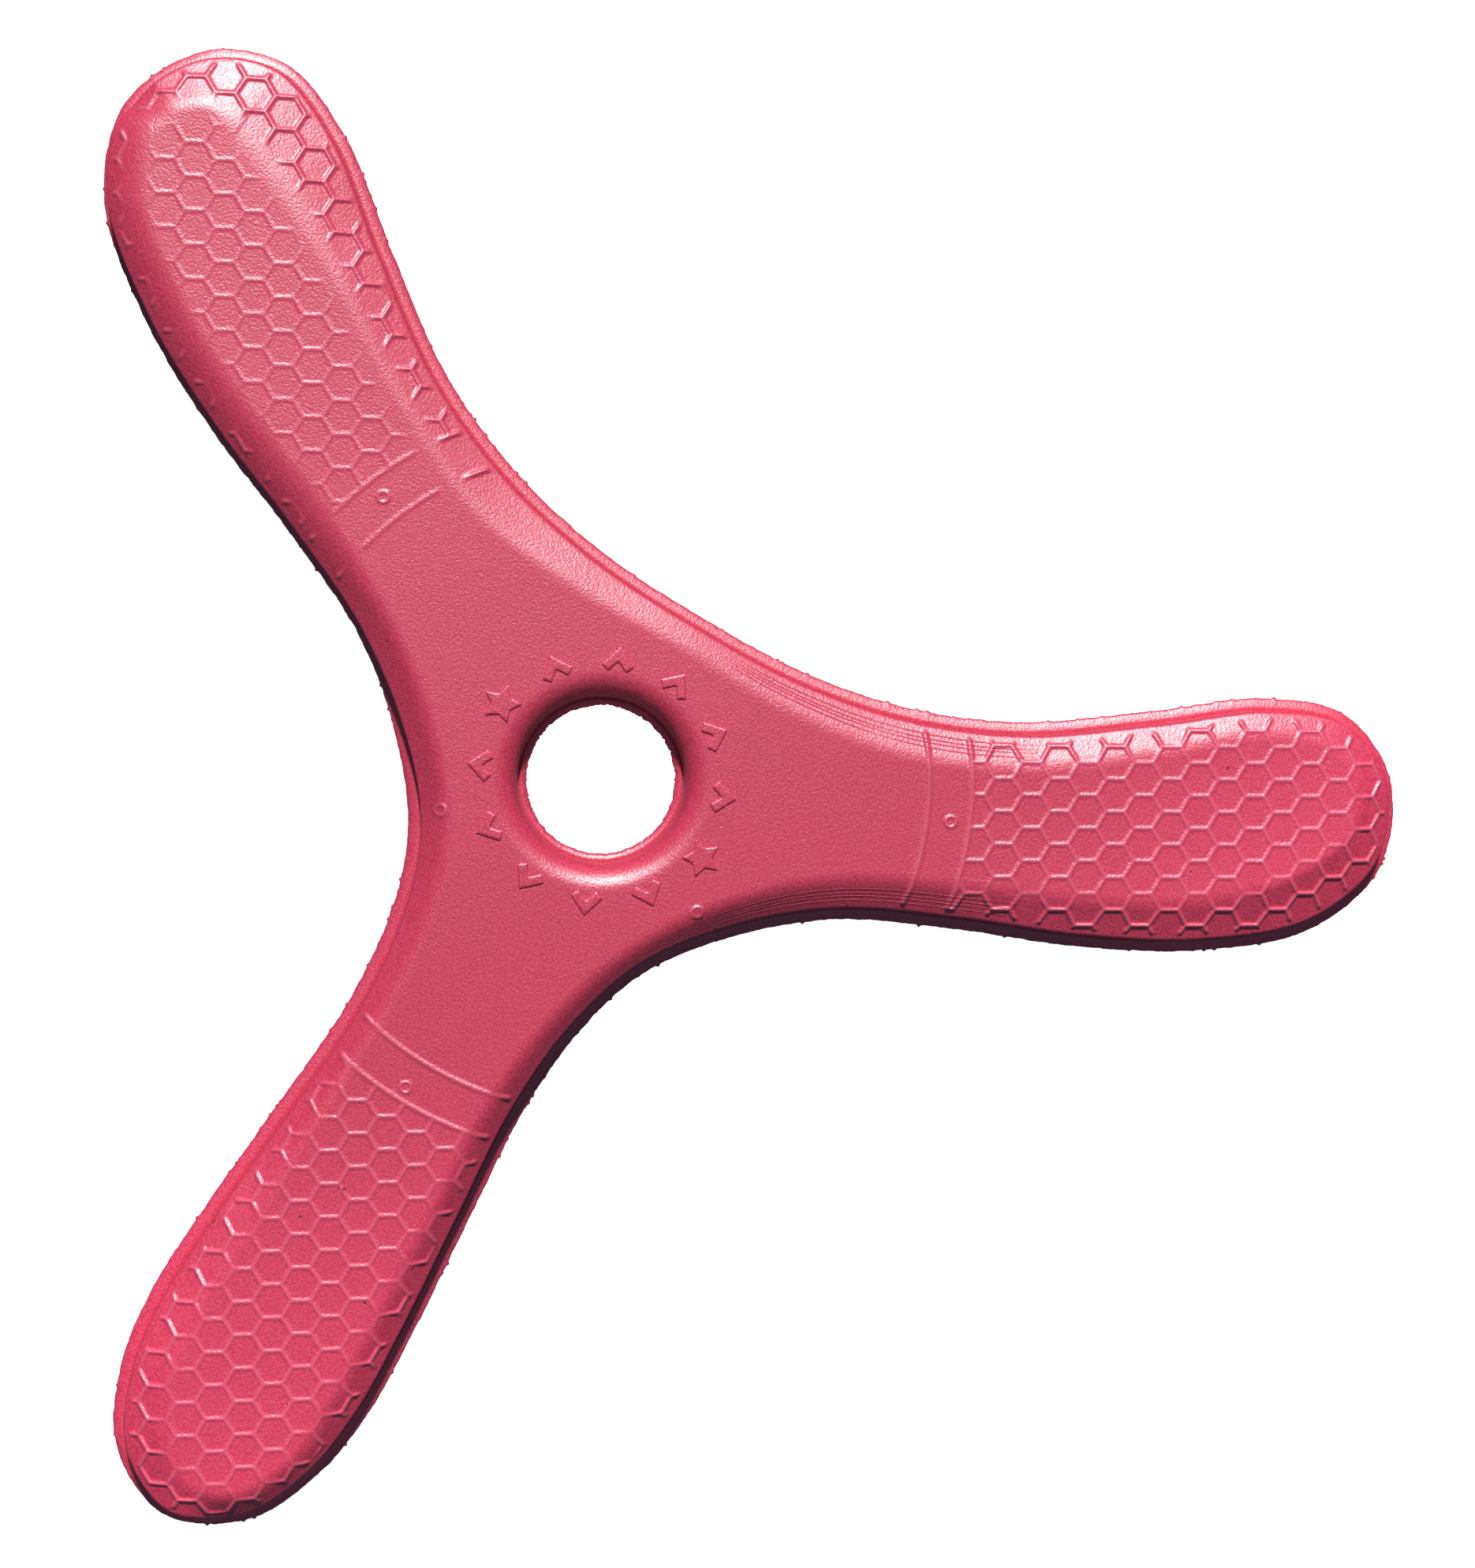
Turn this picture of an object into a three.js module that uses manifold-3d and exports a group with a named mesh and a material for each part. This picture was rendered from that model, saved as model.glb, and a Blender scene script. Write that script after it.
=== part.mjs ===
// Three-blade boomerang of soft moulded foam. Millimetres, +Z up.
//
// The origin is the centre of the finger hole on the resting face. The straight tail blade runs to -Y, and
// the two swept blades mirror each other across the plane x = 0. Two foam halves, a lower one with a thin
// lip and an upper one with the bevel and the raised marks, meet on a flat parting plane. Each blade bends
// on a cross line at its neck: its root is a half-round nose that sits in a hollow of the hub.

import * as THREE from 'three';
import { mergeVertices } from 'three/addons/utils/BufferGeometryUtils.js';
import Module from 'manifold-3d';

const wasm = await Module();
wasm.setup();

// ---- driving dimensions -------------------------------------------------------------------------------

const THICKNESS = 12;
const PARTING = 5.2;             // height of the plane where the two halves meet
const OUTLINE_STEPS = 184;

// Half of the lip's outline, from the notch between the swept blades round to the tail's tip, with the
// widths of the edge there: x, y, from lip to top face on the left copy, and on the right copy. Each blade's
// clockwise edge slopes gently and its other edge is steep, as on any spinning wing.
const HALF_OUTLINE = [
  [0, 34.5, 6.4, 6.4], [20, 35.3, 7.8, 7.2], [40, 39.3, 9.8, 8], [60, 47.8, 9.2, 8],
  [80, 62, 10.8, 7.2], [97, 74.9, 14.5, 6.2], [112, 80.4, 15, 7.4], [125.5, 74.8, 11.5, 8.3],
  [132.6, 59.5, 7, 10.8], [127, 43, 5.6, 11.6], [110, 28.5, 5.5, 9.7], [90, 17.8, 5.5, 9],
  [70, 9.6, 5.5, 8.1], [50, 0, 5.8, 7.7], [36, -11.5, 6.5, 6.8], [25, -25.5, 6.8, 5.4],
  [20.2, -40, 6.4, 5.6], [18.6, -58, 6, 6.2], [20.1, -80, 6.9, 6.6], [21.9, -103, 8.8, 7.2],
  [22.4, -120, 9.4, 7.2], [20.2, -134, 9.2, 6], [13.5, -147, 9.8, 6.6], [0, -153.5, 9.2, 9.2],
];

const LIP = 2.4;
const RIM_INSET = LIP + 0.5;     // from the lip's edge to the rim, where the bevel begins
const LOWEST_RIM = 7.2;
const STEEP_EDGE = { width: 6.6, slope: 0.85 };  // slope is the bevel's climb per millimetre inwards
const GENTLE_EDGE = { width: 8.5, slope: 0.45 };
const NOTCH_SIDE_SLOPE = 0.38;   // at most, on the sides that face the notch between the swept blades
const WIDEST_EASING = 0.08;      // taken off that slope where the edge is widest
const RELIEF = 0.4;              // height of every raised mark

// Edge sections from the bottom up: [distance in from the lip's edge, height]. A height may depend on the
// edge's width and the way it faces. Above the upper half's last level, the bevel slopes to the top face.
const LOWER_SECTION = [[3.2, 0], [1.9, 0.9], [1.6, 3.2], [0.2, 3.7], [0, 4.4], [0.3, PARTING]];
const UPPER_SECTION = [[LIP, PARTING], [LIP, (...edge) => rimHeight(...edge) - 0.7], [RIM_INSET, rimHeight]];
const RAISED_SECTION = [
  [RIM_INSET + 0.1, PARTING], [RIM_INSET + 0.1, (...edge) => rimHeight(...edge) + RELIEF],
];

const LIP_RADIUS = 13.35;        // the hole through the lip
const WALL_RADIUS = 15;          // the hole through the rest of both halves
const FLARE_RADIUS = 19.6;       // where the rounded mouth meets the top
const FLARE_DEPTH = 4.8;

const HINGE_REACH = 62.4;        // from the hole's centre to the line where a blade bends
const CLEARANCE = 0.3;
const BLADES = [
  { name: 'tail', heading: -90 },
  { name: 'right', heading: 26.5 },
  { name: 'left', heading: 153.5 },
];

const BAND_RADII = [58.6, 66.4]; // two raised lines across each neck, round the hole's centre
const BAND_WIDTH = 1.2;
const BAND_SPREAD = 60;          // degrees that one band line may cover
const MARK_RING = 22.4;
const MARK_COUNT = 12;
const MARK_START = -7;           // degrees from +X of the first mark
const STAR_PLACES = [0, 6];
const STAR_RADIUS = 3.1;
const STAR_NOTCH = 0.42;         // a star's inner radius as a share of the outer one
const CHEVRON = { length: 5.2, width: 4.6, bar: 1.1 };  // bar is a leg's width at its foot

const FOAM_COLOUR = 0xd64d68;
const FOAM_ROUGHNESS = 0.78;
const BEYOND = 10;               // how far a cutting shape runs past what it cuts
const BLADE_ROOM = 120;          // longer and wider than any blade past its bend line
const ROUND_STEPS = 48;
const NOSE_STEPS = 40;

// ---- solids -------------------------------------------------------------------------------------------

function toSolid(geometry) {
  const bare = geometry.index ? geometry.clone() : geometry;
  bare.deleteAttribute('normal');
  bare.deleteAttribute('uv');
  const merged = mergeVertices(bare, 1e-4);
  return new wasm.Manifold(new wasm.Mesh({
    numProp: 3,
    vertProperties: new Float32Array(merged.attributes.position.array),
    triVerts: new Uint32Array(merged.index.array),
  }));
}

function toMesh(name, solid) {
  const { vertProperties, triVerts } = solid.getMesh();
  const geometry = new THREE.BufferGeometry();
  geometry.setAttribute('position', new THREE.BufferAttribute(new Float32Array(vertProperties), 3));
  geometry.setIndex(new THREE.BufferAttribute(new Uint32Array(triVerts), 1));
  geometry.computeVertexNormals();
  const material = new THREE.MeshStandardMaterial({
    color: FOAM_COLOUR, roughness: FOAM_ROUGHNESS, metalness: 0, flatShading: true,
  });
  const mesh = new THREE.Mesh(geometry, material);
  mesh.name = name;
  return mesh;
}

function extrude(shape, height, base) {
  const options = { depth: height, bevelEnabled: false, curveSegments: 24 };
  return new THREE.ExtrudeGeometry(shape, options).translate(0, 0, base);
}

// ---- the blank: outline and edge ----------------------------------------------------------------------

// The whole outline, counter-clockwise: down the left side first, then up the right side. Each point's z is
// the width of the edge there.
function outline() {
  const left = HALF_OUTLINE.slice(1, -1).map(([x, y, width]) => new THREE.Vector3(-x, y, width));
  const right = HALF_OUTLINE.map(([x, y, , width]) => new THREE.Vector3(x, y, width)).reverse();
  const top = right.pop();
  const curve = new THREE.CatmullRomCurve3([top, ...left, ...right], true, 'centripetal');
  return curve.getSpacedPoints(OUTLINE_STEPS).slice(0, OUTLINE_STEPS);
}

// Height of the rim. Narrow edges have a steep bevel above it, and wide ones a gentle bevel.
// northing is how far the edge faces the notch side, +Y: 1 if it does so squarely.
function rimHeight(width, northing) {
  const { lerp, clamp, smoothstep } = THREE.MathUtils;
  const share = (width - STEEP_EDGE.width) / (GENTLE_EDGE.width - STEEP_EDGE.width);
  const usual = lerp(STEEP_EDGE.slope, GENTLE_EDGE.slope, clamp(share, 0, 1));
  const gentler = Math.min(usual, NOTCH_SIDE_SLOPE - WIDEST_EASING * smoothstep(width, 11, 15));
  const slope = lerp(usual, gentler, smoothstep(northing, 0.2, 0.7));
  return Math.max(LOWEST_RIM, THICKNESS - slope * (width - RIM_INSET));
}

function northing(edge, i) {
  const before = edge[(i + edge.length - 1) % edge.length];
  const after = edge[(i + 1) % edge.length];
  return (before.x - after.x) / Math.hypot(after.x - before.x, after.y - before.y);
}

// The outline moved inwards, by one distance or by the width of the edge at each point.
function inset(points, distance) {
  return points.map((point, i) => {
    const before = points[(i + points.length - 1) % points.length];
    const after = points[(i + 1) % points.length];
    const along = new THREE.Vector2(after.x - before.x, after.y - before.y).normalize();
    const shift = distance ?? point.z;
    return new THREE.Vector2(point.x - along.y * shift, point.y + along.x * shift);
  });
}

// A closed plate whose wall climbs through the levels of an edge section. With a roof, the wall then slopes
// up to a top face that is inset by the width of the edge.
function plate(section, roof) {
  const edge = outline();
  const levels = section.map(([distance, height]) => ({ ring: inset(edge, distance), height }));
  if (roof) {
    levels.push({ ring: inset(edge), height: roof });
  }
  const heightAt = (height, i) => (
    typeof height === 'function' ? height(edge[i].z, northing(edge, i)) : height
  );
  const positions = levels.flatMap(({ ring, height }) => (
    ring.flatMap(({ x, y }, i) => [x, y, heightAt(height, i)])
  ));
  const count = edge.length;
  const faces = [];
  for (let level = 0; level + 1 < levels.length; level += 1) {
    for (let i = 0; i < count; i += 1) {
      const a = level * count + i;
      const b = level * count + ((i + 1) % count);
      faces.push(a, b, b + count, a, b + count, a + count);
    }
  }
  const last = (levels.length - 1) * count;
  for (const [a, b, c] of THREE.ShapeUtils.triangulateShape(levels[0].ring, [])) {
    faces.push(a, c, b);
  }
  for (const [a, b, c] of THREE.ShapeUtils.triangulateShape(levels.at(-1).ring, [])) {
    faces.push(last + a, last + b, last + c);
  }
  const geometry = new THREE.BufferGeometry();
  geometry.setAttribute('position', new THREE.Float32BufferAttribute(positions, 3));
  geometry.setIndex(faces);
  return toSolid(geometry);
}

// ---- the finger hole ----------------------------------------------------------------------------------

// The hole of the lower half: the lip stands into it just below the parting plane.
function lowerHole() {
  const profile = [
    new THREE.Vector2(0, -BEYOND),
    new THREE.Vector2(WALL_RADIUS + 1, -BEYOND),
    new THREE.Vector2(WALL_RADIUS + 1, 0),
    new THREE.Vector2(WALL_RADIUS, 1),
    new THREE.Vector2(WALL_RADIUS - 0.2, 3.2),
    new THREE.Vector2(LIP_RADIUS + 0.2, 3.7),
    new THREE.Vector2(LIP_RADIUS, 4.4),
    new THREE.Vector2(LIP_RADIUS + 0.3, PARTING),
    new THREE.Vector2(LIP_RADIUS + 0.3, THICKNESS),
    new THREE.Vector2(0, THICKNESS),
  ];
  return toSolid(new THREE.LatheGeometry(profile, ROUND_STEPS).rotateX(Math.PI / 2));
}

// A straight wall with a rounded mouth, as a turned cutting shape.
function upperHole() {
  const mouth = [0, 15, 35, 60, 90].map((degrees) => {
    const turn = THREE.MathUtils.degToRad(degrees);
    const flare = FLARE_RADIUS - WALL_RADIUS;
    const radius = FLARE_RADIUS - flare * Math.cos(turn);
    return new THREE.Vector2(radius, THICKNESS - FLARE_DEPTH * (1 - Math.sin(turn)));
  });
  const profile = [
    new THREE.Vector2(0, -BEYOND),
    new THREE.Vector2(WALL_RADIUS, -BEYOND),
    ...mouth,
    new THREE.Vector2(FLARE_RADIUS, THICKNESS + BEYOND),
    new THREE.Vector2(0, THICKNESS + BEYOND),
  ];
  return toSolid(new THREE.LatheGeometry(profile, ROUND_STEPS).rotateX(Math.PI / 2));
}

// ---- raised marks -------------------------------------------------------------------------------------

function starShape() {
  const points = [];
  for (let i = 0; i < 10; i += 1) {
    const reach = i % 2 === 0 ? STAR_RADIUS : STAR_RADIUS * STAR_NOTCH;
    const turn = (i * Math.PI) / 5;
    points.push(new THREE.Vector2(reach * Math.cos(turn), reach * Math.sin(turn)));
  }
  return new THREE.Shape(points);
}

// A V with its point away from the hole: two bars of one width that meet at the tip.
function chevronShape() {
  const { length, width, bar } = CHEVRON;
  const tip = length / 2;
  const foot = tip - length;
  const inner = tip - (bar * length) / (width / 2);
  return new THREE.Shape([
    new THREE.Vector2(tip, 0),
    new THREE.Vector2(foot, width / 2),
    new THREE.Vector2(foot, width / 2 - bar),
    new THREE.Vector2(inner, 0),
    new THREE.Vector2(foot, bar - width / 2),
    new THREE.Vector2(foot, -width / 2),
  ]);
}

function ringMarks() {
  const marks = [];
  for (let place = 0; place < MARK_COUNT; place += 1) {
    const shape = STAR_PLACES.includes(place) ? starShape() : chevronShape();
    const turn = THREE.MathUtils.degToRad(MARK_START + (place * 360) / MARK_COUNT);
    const mark = extrude(shape, 2 * RELIEF, THICKNESS - RELIEF).translate(MARK_RING, 0, 0).rotateZ(turn);
    marks.push(toSolid(mark));
  }
  return marks;
}

// One band line: an arc round the hole's centre, as tall as the raised plate lets it be.
function bandLine(radius, heading) {
  const middle = THREE.MathUtils.degToRad(heading);
  const spread = THREE.MathUtils.degToRad(BAND_SPREAD) / 2;
  const shape = new THREE.Shape();
  shape.absarc(0, 0, radius + BAND_WIDTH / 2, middle - spread, middle + spread, false);
  shape.absarc(0, 0, radius - BAND_WIDTH / 2, middle + spread, middle - spread, true);
  const arc = extrude(shape, THICKNESS, PARTING + 1);
  return toSolid(arc).intersect(plate(RAISED_SECTION, THICKNESS + RELIEF));
}

// ---- where a blade meets the hub ----------------------------------------------------------------------

// All that lies beyond a blade's bend line, with the half-round nose about that line.
function bladeSpace(heading, noseRadius) {
  const nose = new THREE.CylinderGeometry(noseRadius, noseRadius, BLADE_ROOM, NOSE_STEPS);
  const beyond = new THREE.BoxGeometry(BLADE_ROOM, BLADE_ROOM, THICKNESS + 2 * BEYOND);
  beyond.translate(BLADE_ROOM / 2, 0, 0);
  const place = (geometry) => geometry
    .translate(HINGE_REACH, 0, THICKNESS / 2)
    .rotateZ(THREE.MathUtils.degToRad(heading));
  return toSolid(place(nose)).add(toSolid(place(beyond)));
}

// ---- assembly -----------------------------------------------------------------------------------------

const boomerang = new THREE.Group();
let upper = plate(UPPER_SECTION, THICKNESS).subtract(upperHole());
let lower = plate(LOWER_SECTION).subtract(lowerHole());
for (const mark of ringMarks()) {
  upper = upper.add(mark);
}
for (const { heading } of BLADES) {
  for (const radius of BAND_RADII) {
    upper = upper.add(bandLine(radius, heading));
  }
}

let hubUpper = upper;
let hubLower = lower;
for (const { name, heading } of BLADES) {
  const blade = bladeSpace(heading, THICKNESS / 2);
  const hollow = bladeSpace(heading, THICKNESS / 2 + CLEARANCE);
  boomerang.add(toMesh(`${name}_blade_upper_foam`, upper.intersect(blade)));
  boomerang.add(toMesh(`${name}_blade_lower_foam`, lower.intersect(blade)));
  hubUpper = hubUpper.subtract(hollow);
  hubLower = hubLower.subtract(hollow);
}
boomerang.add(toMesh('hub_upper_foam', hubUpper));
boomerang.add(toMesh('hub_lower_foam', hubLower));

export default boomerang;
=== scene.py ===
"""Three-blade boomerang of soft moulded foam, lying face up, with its camera, light and floor.

The toy's lengths are worked out in millimetres, as on its drawing, and each finished mesh is scaled to
metres. The lamps and the floor are in metres, and so are the places that materials read.
"""

import math
import random

import bmesh
import bpy
from mathutils import Matrix, Vector, geometry, kdtree, noise


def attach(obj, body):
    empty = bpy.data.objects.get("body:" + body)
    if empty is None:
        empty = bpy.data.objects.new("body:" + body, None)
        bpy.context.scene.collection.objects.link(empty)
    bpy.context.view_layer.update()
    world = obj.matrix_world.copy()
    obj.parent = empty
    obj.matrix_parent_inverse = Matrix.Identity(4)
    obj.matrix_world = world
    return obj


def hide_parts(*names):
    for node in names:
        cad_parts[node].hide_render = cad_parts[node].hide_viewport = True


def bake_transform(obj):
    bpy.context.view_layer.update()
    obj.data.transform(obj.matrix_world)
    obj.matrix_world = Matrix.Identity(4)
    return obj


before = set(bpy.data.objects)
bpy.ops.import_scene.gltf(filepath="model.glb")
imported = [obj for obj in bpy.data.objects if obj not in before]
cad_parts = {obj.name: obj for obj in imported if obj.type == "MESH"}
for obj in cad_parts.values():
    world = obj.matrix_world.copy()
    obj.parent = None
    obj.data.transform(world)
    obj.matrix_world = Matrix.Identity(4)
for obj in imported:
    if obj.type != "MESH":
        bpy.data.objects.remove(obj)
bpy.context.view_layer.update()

METRES = 0.001                   # in one millimetre


# ---- camera, light and floor ---------------------------------------------------------------------------

def add_camera():
    """The camera, which looks almost straight down on the hub."""
    place = Vector((-20.9, 6.6, 458.3)) * METRES
    forward = Vector((0.0934, 0.0117, -0.9956)).normalized()
    upright = Vector((-0.5094, 0.8597, -0.0377))
    side = forward.cross(upright).normalized()
    top = side.cross(forward)
    data = bpy.data.cameras.new("camera")
    data.lens = 57.8
    data.sensor_width = 36
    data.clip_start = 0.01
    data.clip_end = 20
    camera = bpy.data.objects.new("camera", data)
    camera.matrix_world = Matrix.Translation(place) @ Matrix((side, top, -forward)).transposed().to_4x4()
    bpy.context.collection.objects.link(camera)
    bpy.context.scene.camera = camera


def add_lamp(name, heading, height, distance, size, power, colour=(1, 1, 1)):
    """A square lamp that faces the finger hole, from a heading and a height above the floor in degrees.

    Its distance and its size are in metres.
    """
    flat = math.cos(math.radians(height))
    turn = math.radians(heading)
    towards = Vector((math.cos(turn) * flat, math.sin(turn) * flat, math.sin(math.radians(height))))
    data = bpy.data.lights.new(name, "AREA")
    data.size = size
    data.energy = power
    data.color = colour
    lamp = bpy.data.objects.new(name, data)
    lamp.location = towards * distance
    lamp.rotation_mode = "QUATERNION"
    lamp.rotation_quaternion = towards.to_track_quat("Z", "Y")
    bpy.context.collection.objects.link(lamp)


# ---- shader expressions --------------------------------------------------------------------------------

class Wire:
    """One output of a node. Arithmetic on wires adds the Math nodes that do it."""

    def __init__(self, tree, socket=None):
        self.tree = tree
        self.socket = socket

    def node(self, kind, sockets=None, output=0, **settings):
        """Adds a node, sets it up, then fills its sockets with numbers or wires."""
        node = self.tree.nodes.new(kind)
        for name, value in settings.items():
            setattr(node, name, value)
        for name, value in (sockets or {}).items():
            if isinstance(value, Wire):
                self.tree.links.new(value.socket, node.inputs[name])
            else:
                node.inputs[name].default_value = value
        return Wire(self.tree, node.outputs[output] if node.outputs else None)

    def maths(self, operation, *values):
        return self.node("ShaderNodeMath", dict(enumerate(values)), operation=operation)

    def __add__(self, other):
        return self.maths("ADD", self, other)

    def __radd__(self, other):
        return self.maths("ADD", other, self)

    def __sub__(self, other):
        return self.maths("SUBTRACT", self, other)

    def __rsub__(self, other):
        return self.maths("SUBTRACT", other, self)

    def __mul__(self, other):
        return self.maths("MULTIPLY", self, other)

    def __rmul__(self, other):
        return self.maths("MULTIPLY", other, self)

    def difference(self, other):
        return self.maths("ABSOLUTE", self - other)

    def distance(self, place):
        """How far a wire of places is from a fixed place, in metres."""
        return self.node("ShaderNodeVectorMath", {0: self, 1: place}, output="Value", operation="DISTANCE")

    def fades(self, start, end, first=0.0, last=1.0):
        """first before start, last after end, with a smooth turn between them."""
        sockets = {"Value": self, "From Min": start, "From Max": end, "To Min": first, "To Max": last}
        return self.node("ShaderNodeMapRange", sockets, interpolation_type="SMOOTHSTEP")

    def blends(self, first, last):
        """A colour from first, where this wire is 0, to last, where it is 1."""
        # Of a Mix node's many sockets, 6, 7 and output 2 are the ones for colours.
        return self.node("ShaderNodeMix", {0: self, 6: first, 7: last}, output=2, data_type="RGBA")


def new_material(name):
    """An empty material, and a wire from which its nodes start."""
    material = bpy.data.materials.new(name)
    material.use_nodes = True
    material.node_tree.nodes.clear()
    return material, Wire(material.node_tree)


def grain(where, size, detail=2.0, roughness=0.5):
    """Cloudy noise from 0 to 1, whose lumps are about size millimetres across."""
    sockets = {"Vector": where, "Scale": 1 / (size * METRES), "Detail": detail, "Roughness": roughness}
    return where.node("ShaderNodeTexNoise", sockets)


def linear(red, green, blue):
    """A linear colour from the usual 0-255 display values."""
    def straight(value):
        share = value / 255
        return share / 12.92 if share <= 0.04045 else ((share + 0.055) / 1.055) ** 2.4
    return (straight(red), straight(green), straight(blue), 1)


ROSE = linear(202, 42, 72)
WARM_ROSE = linear(216, 48, 78)
DEEP_ROSE = linear(182, 32, 60)
PALE_ROSE = linear(222, 64, 98)
FLECK = linear(236, 122, 146)
# Painted highlight: the tops of ribs, lines and vent rings are painted this paler rose, in place of the
# sheen on their rounded sides.
RIB_HIGHLIGHT_ROSE = linear(228, 96, 122)
# Painted shade: the dark colour inside the open pores, where shade falls.
PORE_SHADE = linear(120, 20, 44)

# What covers the foam: how far across each thing is, or how far apart, then how far it stands up.
PEBBLE_SIZE, PEBBLE_HEIGHT = 0.5, 0.085
FLECK_SIZE, FLECK_HEIGHT = 0.32, 0.045
LUMP_SIZE, LUMP_HEIGHT = 2.2, 0.01
PORE_SPACING, PORE_HEIGHT = 9, -0.1
PORE_RIM = (0.02, 0.035)         # a pore's radii at its floor and at its rim, as shares of the spacing
CLOUD_SIZE = 14                  # the slow drift in colour

# Painted light and shade: the foam's colour is painted darker near this place, which is beside the left
# neck, and brighter at the tips of the tail and the right blade, in place of light that falls more strongly
# on the tips.
SHADE_PAINT_SPOT = (-0.05, 0.05, 0)
SHADE_PAINT_REACH = (0.1, 0.2)          # from it, between which the painted light turns the foam bright
PAINTED_SHADE_VALUE = 0.93
PAINTED_LIGHT_GAIN = 0.29

WARM_SHARE = 0.4                 # the most that each colour takes over from the ones under it
DEEP_SHARE = 0.25
FLECK_SHARE = 0.32
RIB_HIGHLIGHT_SHARE = 0.5
TOP_ROUGHNESS = 0.37             # on top of the pebble
PIT_ROUGHNESS = 0.08             # added between its grains

# Fine contour lines along the bevels between the hub and the right blade.
CONTOUR_SPOT = (0.042, 0.018, 0.01)
CONTOUR_REACH = (0.024, 0.04)    # from it, between which the lines fade
CONTOUR_SHARES = (0.22, 0.38, 0.5, 0.66)
CONTOUR_HALF_WIDTH = 0.035       # in shares of the bevel
CONTOUR_STRETCH = 26             # how long the unbroken stretches of a line are
CONTOUR_HEIGHT = 0.08


def foam_material(name, contour_height):
    """Moulded closed-cell foam: a satin rose skin with a fine pebble, pale flecks and a few open pores, with
    painted shade in the pores, a painted highlight on rib tops and painted light and shade across the body.
    """
    material, start = new_material(name)
    where = start.node("ShaderNodeTexCoord", output="Object")
    pebble = grain(where, PEBBLE_SIZE, 2.0, 0.6)
    flecks = grain(where, FLECK_SIZE, 1.0)
    lumps = grain(where, LUMP_SIZE)
    clouds = grain(where, CLOUD_SIZE, 3.0, 0.55)
    pores = start.node("ShaderNodeTexVoronoi", {"Vector": where, "Scale": 1 / (PORE_SPACING * METRES)})
    pore = pores.fades(*PORE_RIM, 1.0, 0.0)
    rose = (clouds.fades(0.3, 0.7) * WARM_SHARE).blends(ROSE, WARM_ROSE)
    mottled = (lumps.fades(0.35, 0.7) * DEEP_SHARE).blends(rose, DEEP_ROSE)
    grained = pebble.fades(0.37, 0.63).blends(mottled, PALE_ROSE)
    flecked = (flecks.fades(0.6, 0.74) * FLECK_SHARE).blends(grained, FLECK)
    ridge = start.node("ShaderNodeAttribute", output="Fac", attribute_name="ridge")
    # Painted highlight: the tops of ribs, lines and vent rings are painted paler, in place of the sheen that
    # lights them.
    rib_highlighted = (ridge * RIB_HIGHLIGHT_SHARE).blends(flecked, RIB_HIGHLIGHT_ROSE)
    # Painted light and shade: the colour's value is lowered near the left neck and raised towards the tips.
    painted_light_value = PAINTED_SHADE_VALUE + where.distance(SHADE_PAINT_SPOT).fades(*SHADE_PAINT_REACH) * PAINTED_LIGHT_GAIN
    painted_light_colour = start.node("ShaderNodeHueSaturation", {"Color": rib_highlighted, "Value": painted_light_value})
    # Painted shade: the pores are painted dark.
    colour = pore.blends(painted_light_colour, PORE_SHADE)
    height = pebble * PEBBLE_HEIGHT + flecks * FLECK_HEIGHT + lumps * LUMP_HEIGHT + pore * PORE_HEIGHT
    if contour_height:
        share = start.node("ShaderNodeAttribute", output="Fac", attribute_name="edge_share")
        neck = where.distance(CONTOUR_SPOT).fades(*CONTOUR_REACH, 1.0, 0.0)
        stretch = grain(where, CONTOUR_STRETCH, 1.0).fades(0.3, 0.5) * neck
        for middle in CONTOUR_SHARES:
            line = share.difference(middle).fades(0.0, CONTOUR_HALF_WIDTH, 1.0, 0.0)
            height = height + line * stretch * contour_height
    bump = start.node("ShaderNodeBump", {"Strength": 1.0, "Distance": METRES, "Height": height})
    roughness = TOP_ROUGHNESS + (1 - pebble) * PIT_ROUGHNESS
    shader = start.node("ShaderNodeBsdfPrincipled", {
        "Base Color": colour, "Roughness": roughness, "Normal": bump, "IOR": 1.62, "Specular IOR Level": 1.0,
        "Sheen Weight": 0.04, "Sheen Roughness": 0.4, "Sheen Tint": (1.0, 0.8, 0.86, 1),
    })
    start.node("ShaderNodeOutputMaterial", {"Surface": shader})
    return material


# ---- the outline ---------------------------------------------------------------------------------------

THICKNESS = 12
PARTING = 4.95                   # height of the plane between the upper and the lower foam

# Half of the lip's outline, from the notch between the swept blades round to the tail's tip: x, y, and the
# width from the lip's edge to the top face, on the left copy and on the right copy.
HALF_OUTLINE = [
    (0, 34.5, 6.4, 6.4), (20, 35.3, 7.8, 7.2), (40, 39.3, 9.8, 8), (60, 47.8, 9.2, 8),
    (80, 62, 10.8, 7.2), (97, 74.9, 14.5, 6.2), (112, 80.4, 15, 7.4), (125.5, 74.8, 11.5, 8.3),
    (132.6, 59.5, 7, 10.8), (127, 43, 5.6, 11.6), (110, 28.5, 5.5, 9.7), (90, 17.8, 5.5, 9),
    (70, 9.6, 5.5, 8.1), (50, 0, 5.8, 7.7), (36, -11.5, 6.5, 6.8), (25, -25.5, 6.8, 5.4),
    (20.2, -40, 6.4, 5.6), (18.6, -58, 6, 6.2), (20.1, -80, 6.9, 6.6), (21.9, -103, 8.8, 7.2),
    (22.4, -120, 9.4, 7.2), (20.2, -134, 9.2, 6), (13.5, -147, 9.8, 6.6), (0, -153.5, 9.2, 9.2),
]
SPLINE_STEPS = 60                # between two points of the half outline
EDGE_SPACING = 0.5


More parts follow.
